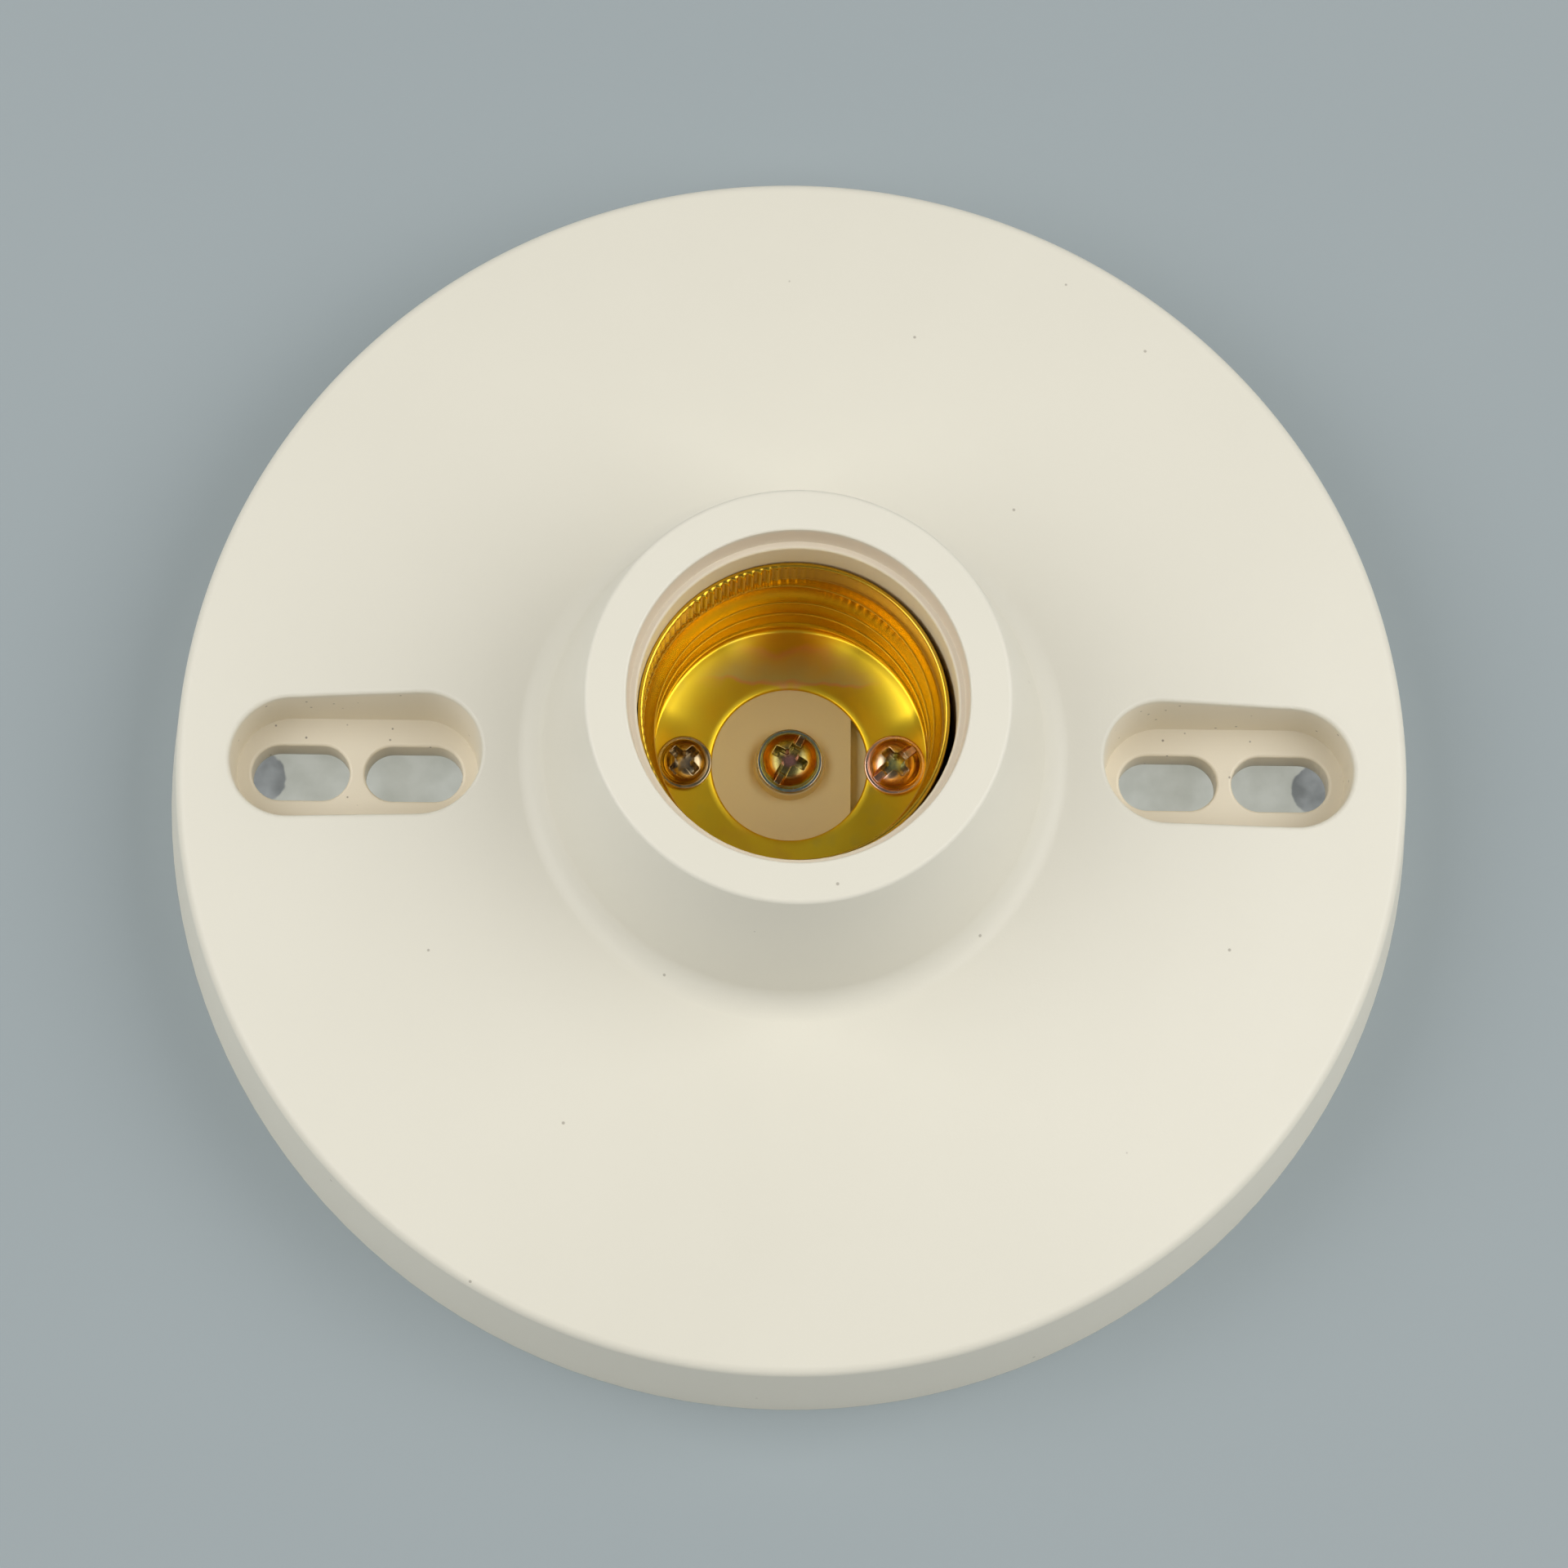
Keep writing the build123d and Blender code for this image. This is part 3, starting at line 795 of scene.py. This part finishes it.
def make_shell():
    """Sheet shell: floor, bent corner, rolled thread and fluted collar, inside and out."""
    around = flute_count * flute_samples
    angles = [2 * math.pi * step / around for step in range(around)]
    corner_top = shell_floor + bend_radius
    collar_bottom = shell_high.z - collar_length
    wall_height = collar_bottom - corner_top
    flat_radius = thread_major_radius - thread_depth / 2 - bend_radius
    edge = sheet / 2
    floor_start = floor_hole_radius + edge
    floor_width = flat_radius - floor_start

    def wall_row(share, outwards):
        rise = wall_height * share
        drop = collar_length + wall_height - rise
        fade = smooth_step(thread_run_in, 0.0, rise)
        row = []
        for a in angles:
            radius = shell_radius(rise, wall_height, a) - flute(a, drop) - chatter(a, rise, drop)
            row.append((radius + outwards, corner_top + rise + fade * dish(a)))
        return row

    def collar_row(share, outwards):
        drop = collar_length * (1 - share)
        return [(thread_major_radius - flute(a, drop) + outwards, shell_high.z - drop) for a in angles]

    def corner_row(share, outwards):
        bend = share * math.pi / 2
        radius = flat_radius + (bend_radius + outwards) * math.sin(bend)
        height = corner_top - (bend_radius + outwards) * math.cos(bend)
        return [(radius, height + dish(a)) for a in angles]

    def hole_row(share):
        turn = share * math.pi
        radius = floor_hole_radius + edge * (1 - math.sin(turn))
        return [(radius, shell_low.z + edge - edge * math.cos(turn))] * around

    def floor_row(share):
        radius = floor_start + floor_width * share
        climb = max(0.0, (radius - dish_start) / (flat_radius - dish_start)) ** dish_power
        return [(radius, shell_floor + climb * dish(a)) for a in angles]

    def outer_shares(count, skip):
        return [1 - step / count for step in range(0, count, skip)]

    rows = [hole_row(step / hole_rows) for step in range(hole_rows + 1)]
    rows += [floor_row(step / floor_rows) for step in range(1, floor_rows)]
    rows += [corner_row(step / corner_rows, 0.0) for step in range(corner_rows)]
    rows += [wall_row(step / thread_rows, 0.0) for step in range(thread_rows)]
    rows += [collar_row(step / collar_rows, 0.0) for step in range(collar_rows)]
    rows += [collar_row(1.0, sheet * share) for share in (0.0, 0.5)]
    rows += [collar_row(share, sheet) for share in outer_shares(collar_rows, outer_collar_step)]
    rows += [wall_row(share, sheet) for share in outer_shares(thread_rows, outer_thread_step)]
    rows += [corner_row(share, sheet) for share in outer_shares(corner_rows, outer_corner_step) + [0.0]]
    points = []
    for row in rows:
        points += [(shell_centre.x + r * math.cos(a), shell_centre.y + r * math.sin(a), z)
                   for (r, z), a in zip(row, angles)]
    faces = ring_faces(len(rows), around)
    last = (len(rows) - 1) * around
    faces += [(last + s, last + (s + 1) % around, (s + 1) % around, s) for s in range(around)]
    piece = mesh_piece("shell_sheet", points, faces)
    piece.data.materials.append(gold_material())
    return stands_for(piece, "screw_shell")


class Screw:
    """A pan-head screw: domed head on a flange, cross drive, sometimes a slot, and a threaded shank."""

    def __init__(self, radius, height, shank_radius, length, drive_angle, slotted):
        self.radius = radius
        self.height = height
        self.shank_radius = shank_radius
        self.length = length
        self.drive_angle = drive_angle
        self.slotted = slotted
        self.dome = radius - flange_width
        self.crown = height - flange_height

    def cross(self, along, across):
        """Depth of the cross drive, with its arms along two directions."""
        reach = self.radius - (cross_margin if self.slotted else plain_cross_margin)
        deep = smooth_step(cross_bowl + drive_soft, cross_bowl - 2 * drive_soft, math.hypot(along, across))
        for lengthwise, sideways in ((abs(along), abs(across)), (abs(across), abs(along))):
            inside = smooth_step(drive_width / 2 + drive_soft, drive_width / 2 - drive_soft, sideways)
            deep = max(deep, inside * smooth_step(reach, reach - cross_end, lengthwise))
        return cross_depth * deep

    def top(self, radius, angle):
        """Height of the head above its seat."""
        share = min(1.0, radius / self.dome)
        cap = flange_height + self.crown * (1 - share ** dome_power) ** (1 / dome_power)
        cap -= flange_fall * max(0.0, radius - self.dome)
        level = smooth_max(cap, flange_height, flange_round / 2)
        along = radius * math.cos(angle - self.drive_angle)
        across = radius * math.sin(angle - self.drive_angle)
        level -= self.cross(along, across)
        if self.slotted:
            inside = smooth_step(drive_width / 2 + drive_soft, drive_width / 2 - drive_soft, abs(across))
            level = min(level, level + inside * (self.height - slot_depth - level))
        return level

    def thread(self, angle, depth):
        """Radius of the shank at a depth under the head."""
        phase = (angle / (2 * math.pi) + depth / screw_pitch) % 1
        groove = smooth_step(screw_crest_share, 1 - screw_crest_share, abs(2 * phase - 1))
        cut = screw_thread_depth * smooth_step(0, screw_pitch, depth)
        taper = screw_thread_depth * smooth_step(self.length - screw_pitch, self.length, depth)
        return self.shank_radius - max(cut * groove, taper)

    def rows(self):
        """Rows of radius and height from the head's middle to the shank's tip."""
        angles = [2 * math.pi * step / screw_segments for step in range(screw_segments)]
        brim = self.radius - flange_round
        rows = []
        for ring in range(1, head_rings + 1):
            radius = brim * ring / head_rings
            rows.append([(radius, self.top(radius, a)) for a in angles])
        for turn in (math.pi / 4, math.pi / 2):
            radius = brim + flange_round * math.sin(turn)
            rows.append([(radius, flange_height - flange_round * (1 - math.cos(turn)))] * screw_segments)
        rows.append([(self.radius, flange_round / 2)] * screw_segments)
        rows.append([(self.radius - flange_round / 2, 0.0)] * screw_segments)
        steps = round(self.length / thread_row_step)
        for step in range(steps + 1):
            depth = self.length * step / steps
            rows.append([(self.thread(a, depth), -depth) for a in angles])
        return [[(r * math.cos(a), r * math.sin(a), z) for (r, z), a in zip(row, angles)] for row in rows]

    def piece(self, name, place, upwards):
        """The screw as an object, with its origin where its axis meets the seat."""
        rows = self.rows()
        points = [point for row in rows for point in row]
        if not upwards:
            points = [(x, -y, -z) for x, y, z in points]
        last = (len(rows) - 1) * screw_segments
        faces = [face[::-1] for face in ring_faces(len(rows), screw_segments)]
        faces.append(tuple(range(screw_segments)))
        faces.append(tuple(last + step for step in reversed(range(screw_segments))))
        made = mesh_piece(name, points, faces)
        made.location = place
        return made


def screw_at(node, seat, upwards, height, shank_radius, drive_angle, slotted):
    """A screw in place of a packed one: its axis, head size and length are taken from the solid."""
    low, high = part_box(node)
    radius = (high.x - low.x) / 2
    length = seat - low.z if upwards else high.z - seat
    screw = Screw(radius, height, shank_radius, length, math.radians(drive_angle), slotted)
    place = Vector(((low.x + high.x) / 2, (low.y + high.y) / 2, seat))
    return screw.piece(f"{node}_turned", place, upwards)


def make_socket_screw(node, seat, chromate_and_shade, height, shank_radius, drive_angle, slotted):
    """One of the screws in the shell, in its chromate colours with painted shade."""
    screw = screw_at(node, seat, True, height, shank_radius, drive_angle, slotted)
    screw.data.materials.append(chromate_and_shade)
    stands_for(screw, node)


def make_socket_screws():
    """The three screws in the shell, each with its own colours from the middle outwards, partly chromate and
    partly painted shade and reflection.
    """
    # Darker stops are painted shade in the drive and painted reflection on the head's slope; the rest are
    # chromate colours.
    centre = chromate_and_shade_material("centre_chromate_and_shade", 3.0 * MM, [
        (0.10, (0.75, 0.38, 0.33)),
        (0.26, (0.34, 0.27, 0.10)),
        (0.50, (0.44, 0.38, 0.13)),
        (0.64, (0.42, 0.20, 0.06)),
        (0.78, (0.36, 0.16, 0.05)),
        (0.87, (0.40, 0.54, 0.40)),
        (0.97, (0.50, 0.48, 0.44)),
    ], rough_low=0.18, rough_high=0.28)
    make_socket_screw("centre_contact_screw", shell_low.z + contact_boss_height, centre, height=1.75 * MM,
                      shank_radius=1.5 * MM, drive_angle=62, slotted=True)
    right = chromate_and_shade_material("terminal_chromate_and_shade", 2.8 * MM, [
        (0.12, (0.66, 0.72, 0.34)),
        (0.28, (0.36, 0.30, 0.14)),
        (0.48, (0.70, 0.50, 0.34)),
        (0.66, (0.74, 0.44, 0.34)),
        (0.80, (0.74, 0.45, 0.37)),
        (0.95, (0.90, 0.63, 0.51)),
    ], rough_low=0.18, rough_high=0.28)
    make_socket_screw("shell_terminal_screw", shell_floor, right, height=1.7 * MM,
                      shank_radius=1.5 * MM, drive_angle=40, slotted=True)
    left = chromate_and_shade_material("fixing_chromate_and_shade", 2.5 * MM, [
        (0.12, (0.62, 0.50, 0.34)),
        (0.32, (0.28, 0.22, 0.13)),
        (0.55, (0.44, 0.34, 0.20)),
        (0.75, (0.40, 0.27, 0.11)),
        (0.92, (0.54, 0.44, 0.28)),
    ], rough_low=0.16, rough_high=0.26)
    make_socket_screw("shell_fixing_screw", shell_floor, left, height=1.5 * MM,
                      shank_radius=1.3 * MM, drive_angle=45, slotted=False)


def make_terminals():
    """Strips, clamps and wire screws behind the web."""
    brass = plain_metal("brass", dark=(0.62, 0.42, 0.14, 1), light=(0.78, 0.57, 0.24, 1))
    plated = plain_metal("nickel_plate", dark=(0.52, 0.51, 0.48, 1), light=(0.68, 0.67, 0.64, 1))
    for side, metal, slot in (("line", brass, "line_brass"), ("neutral", plated, "neutral_plated")):
        for kind in ("terminal_strip", "wire_clamp"):
            node = frame["nodes"][f"{side}_{kind}"]
            node.data.materials.clear()
            node.data.materials.append(metal)
        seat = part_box(f"{side}_wire_clamp")[0].z
        screw = screw_at(f"{side}_wire_screw", seat, upwards=False, height=2.0 * MM, shank_radius=1.75 * MM,
                         drive_angle=0, slotted=True)
        screw.data.materials.append(metal)
        stands_for(screw, f"{side}_wire_screw")


make_moulding()
make_shell()
make_socket_screws()
make_terminals()
make_studio()
make_camera()
bpy.context.scene.view_settings.view_transform = "Standard"
